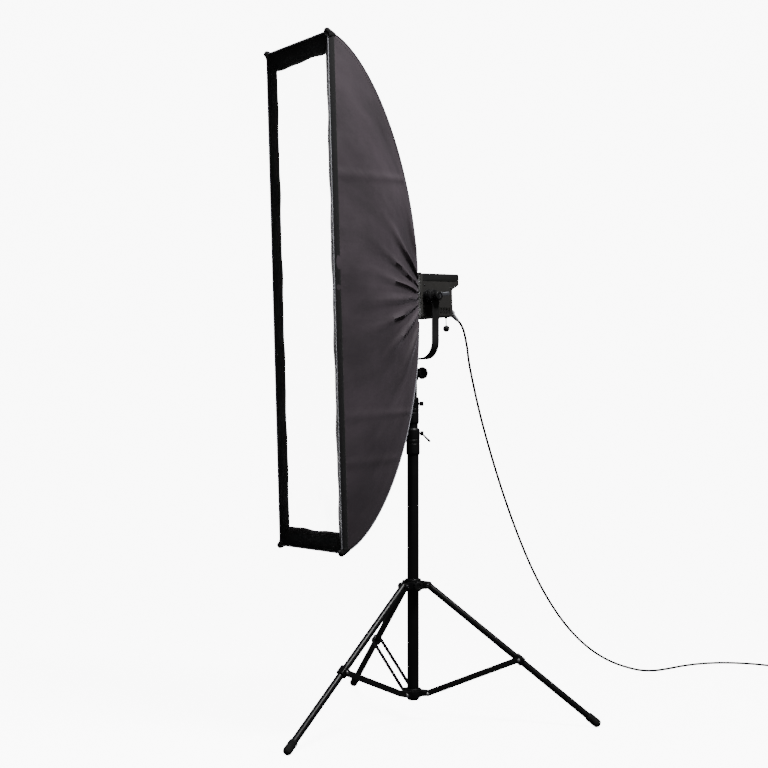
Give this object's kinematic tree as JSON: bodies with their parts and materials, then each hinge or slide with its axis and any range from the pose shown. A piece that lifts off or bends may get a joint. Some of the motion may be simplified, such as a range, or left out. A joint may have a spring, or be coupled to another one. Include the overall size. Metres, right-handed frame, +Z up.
{
  "type": "studio softbox light",
  "caption": "Tall strip softbox on an LED lamp head, tilting in a U-yoke on a three-section folding light stand, with a mains lead.",
  "frame": {"origin": "on the floor, under the middle of the box around the object without its mains lead", "axes": "+Z up, the softbox faces -Y, and the tilt lever and receiver knob are on the +X side"},
  "size_m": [0.9195, 2.168, 1.9225],
  "materials": {
    "black_paint": "satin black powder coat",
    "black_plastic": "fine-grained black moulding",
    "casing_paint": "matt charcoal paint",
    "rubber": "matt black rubber",
    "cord_rubber": "satin black sheath",
    "softbox_fabric": "charcoal nylon with a slight sheen",
    "diffuser_fabric": "translucent white diffusion cloth, lit from behind",
    "zinc_steel": "bright zinc plate",
    "rod_steel": "dark spring steel",
    "aluminium": "bead-blasted",
    "led_phosphor": "yellow phosphor on a white board",
    "circuit_board": "green solder mask",
    "display": "gloss black window",
    "grey_connector": "grey moulding"
  },
  "bodies": {
    "root": {"lower_tube": "black_paint", "column_end_cap": "rubber", "brace_hub": "black_plastic", "lower_clamp": "black_plastic", "power_cord": "cord_rubber", "cord_coil": "cord_rubber", "mains_plug": "black_plastic"},
    "collar": {"leg_collar": "black_plastic"},
    "leg_lock": {"leg_lock_knob": "black_plastic"},
    "leg_1": {"leg_1": "black_paint", "foot_1": "rubber"},
    "leg_2": {"leg_2": "black_paint", "foot_2": "rubber"},
    "leg_3": {"leg_3": "black_paint", "foot_3": "rubber"},
    "brace_1": {"brace_1": "black_paint"},
    "brace_2": {"brace_2": "black_paint"},
    "brace_3": {"brace_3": "black_paint"},
    "middle_section": {"middle_tube": "black_paint", "upper_clamp": "black_plastic"},
    "lower_lock": {"lower_lock_lever": "black_plastic"},
    "top_section": {"top_tube": "black_paint", "spigot": "zinc_steel"},
    "upper_lock": {"upper_lock_knob": "black_plastic"},
    "yoke": {"yoke": "black_paint", "stand_receiver": "black_paint"},
    "receiver_lock": {"receiver_knob": "black_plastic"},
    "tilt_lock": {"tilt_lever": "black_plastic"},
    "head": {"housing": "casing_paint", "front_bezel": "casing_paint", "bayonet_ring": "aluminium", "led_module": "led_phosphor", "heat_sink": "aluminium", "fan_frame": "black_plastic", "driver_board": "circuit_board", "rear_panel": "black_plastic", "display_window": "display", "mains_inlet": "grey_connector", "cord_connector": "grey_connector", "pivot_hub_left": "black_plastic", "pivot_hub_right": "black_plastic"},
    "release": {"release_lever": "black_plastic"},
    "fan": {"fan_rotor": "black_plastic"},
    "dimmer": {"dimmer_knob": "black_plastic"},
    "colour": {"colour_knob": "black_plastic"},
    "menu": {"menu_button": "grey_connector"},
    "power": {"power_switch": "black_plastic"},
    "umbrella_lock": {"umbrella_screw": "black_plastic"},
    "softbox": {"speed_ring": "aluminium", "rod_1": "rod_steel", "rod_2": "rod_steel", "rod_3": "rod_steel", "rod_4": "rod_steel", "side_panel_left": "softbox_fabric", "side_panel_right": "softbox_fabric", "top_panel": "softbox_fabric", "bottom_panel": "softbox_fabric", "front_lip": "softbox_fabric", "front_diffuser": "diffuser_fabric", "inner_baffle": "diffuser_fabric"}
  },
  "joints": [
    {"name": "collar_slide", "type": "slide", "parent": "root", "child": "collar", "axis": [0, 0, 1], "range_m": [0, 0.3043]},
    {"name": "leg_fold_1", "type": "hinge", "parent": "collar", "child": "leg_1", "pos_m": [0.06804, 0.03476, 0.395], "axis": [0.9755, 0.2198, 0], "range_deg": [0, 46.66]},
    {"name": "leg_fold_2", "type": "hinge", "parent": "collar", "child": "leg_2", "pos_m": [0.09122, 0.10917, 0.395], "axis": [-0.6782, 0.7349, 0], "range_deg": [0, 46.66]},
    {"name": "leg_fold_3", "type": "hinge", "parent": "collar", "child": "leg_3", "pos_m": [0.01519, 0.09204, 0.395], "axis": [-0.2974, -0.9548, 0], "range_deg": [0, 46.66]},
    {"name": "brace_fold_1", "type": "hinge", "parent": "root", "child": "brace_1", "pos_m": [0.06804, 0.03476, 0.081], "axis": [-0.9755, -0.2198, 0], "range_deg": [0, 62.26]},
    {"name": "brace_fold_2", "type": "hinge", "parent": "root", "child": "brace_2", "pos_m": [0.09122, 0.10917, 0.081], "axis": [0.6782, -0.7349, 0], "range_deg": [0, 62.26]},
    {"name": "brace_fold_3", "type": "hinge", "parent": "root", "child": "brace_3", "pos_m": [0.01519, 0.09204, 0.081], "axis": [0.2974, 0.9548, 0], "range_deg": [0, 62.26]},
    {"name": "leg_lock_turn", "type": "hinge", "parent": "collar", "child": "leg_lock", "pos_m": [0.05815, 0.07866, 0.395], "axis": [0.9548, -0.2974, 0], "continuous": true},
    {"name": "middle_slide", "type": "slide", "parent": "root", "child": "middle_section", "axis": [0, 0, 1], "range_m": [0, 0.55], "deforming": ["power_cord"]},
    {"name": "lower_lock_turn", "type": "hinge", "parent": "root", "child": "lower_lock", "pos_m": [0.05815, 0.07866, 0.8382], "axis": [0.6984, 0.7157, 0], "continuous": true},
    {"name": "top_slide", "type": "slide", "parent": "middle_section", "child": "top_section", "axis": [0, 0, 1], "range_m": [0, 0.55], "deforming": ["power_cord"]},
    {"name": "upper_lock_turn", "type": "hinge", "parent": "middle_section", "child": "upper_lock", "pos_m": [0.05815, 0.07866, 0.92525], "axis": [0.6984, 0.7157, 0], "continuous": true},
    {"name": "head_swivel", "type": "hinge", "parent": "top_section", "child": "yoke", "pos_m": [0.05815, 0.07866, 1.235], "axis": [0, 0, 1], "continuous": true, "deforming": ["power_cord"]},
    {"name": "receiver_lock_turn", "type": "hinge", "parent": "yoke", "child": "receiver_lock", "pos_m": [0.05815, 0.07866, 1.0143], "axis": [1, 0, 0], "continuous": true},
    {"name": "head_tilt", "type": "hinge", "parent": "yoke", "child": "head", "pos_m": [0.05815, 0.07866, 1.235], "axis": [1, 0, 0], "range_deg": [-50, 8], "deforming": ["power_cord"]},
    {"name": "tilt_lever_turn", "type": "hinge", "parent": "yoke", "child": "tilt_lock", "pos_m": [0.05815, 0.07866, 1.235], "axis": [1, 0, 0], "continuous": true},
    {"name": "softbox_turn", "type": "hinge", "parent": "head", "child": "softbox", "pos_m": [0.05815, 0.07866, 1.235], "axis": [0, 0.9994, 0.0349], "continuous": true},
    {"name": "release_press", "type": "slide", "parent": "head", "child": "release", "axis": [0, 0.0349, -0.9994], "range_m": [0, 0.006], "stiffness_N_per_m": 200, "springref_m": -0.002},
    {"name": "fan_spin", "type": "hinge", "parent": "head", "child": "fan", "pos_m": [0.05815, 0.07866, 1.235], "axis": [0, 0.9994, 0.0349], "continuous": true},
    {"name": "dimmer_turn", "type": "hinge", "parent": "head", "child": "dimmer", "pos_m": [0.10215, 0.07855, 1.238], "axis": [0, 0.9994, 0.0349], "continuous": true},
    {"name": "colour_turn", "type": "hinge", "parent": "head", "child": "colour", "pos_m": [0.07615, 0.07855, 1.238], "axis": [0, 0.9994, 0.0349], "continuous": true},
    {"name": "menu_press", "type": "slide", "parent": "head", "child": "menu", "axis": [0, -0.9994, -0.0349], "range_m": [0, 0.0012], "stiffness_N_per_m": 300, "springref_m": -0.0005},
    {"name": "power_rock", "type": "hinge", "parent": "head", "child": "power", "pos_m": [0.05215, 0.17678, 1.2024], "axis": [1, 0, 0], "range_deg": [0, 14]},
    {"name": "umbrella_screw_turn", "type": "hinge", "parent": "head", "child": "umbrella_lock", "pos_m": [0.10815, 0.16161, 1.2379], "axis": [0, -0.0349, 0.9994], "continuous": true}
  ],
  "couplings": [
    {"joint": "leg_fold_1", "follows": "collar_slide", "rad_per_m": 2.6756},
    {"joint": "leg_fold_2", "follows": "collar_slide", "rad_per_m": 2.6756},
    {"joint": "leg_fold_3", "follows": "collar_slide", "rad_per_m": 2.6756},
    {"joint": "brace_fold_1", "follows": "collar_slide", "rad_per_m": 3.5704},
    {"joint": "brace_fold_2", "follows": "collar_slide", "rad_per_m": 3.5704},
    {"joint": "brace_fold_3", "follows": "collar_slide", "rad_per_m": 3.5704}
  ]
}
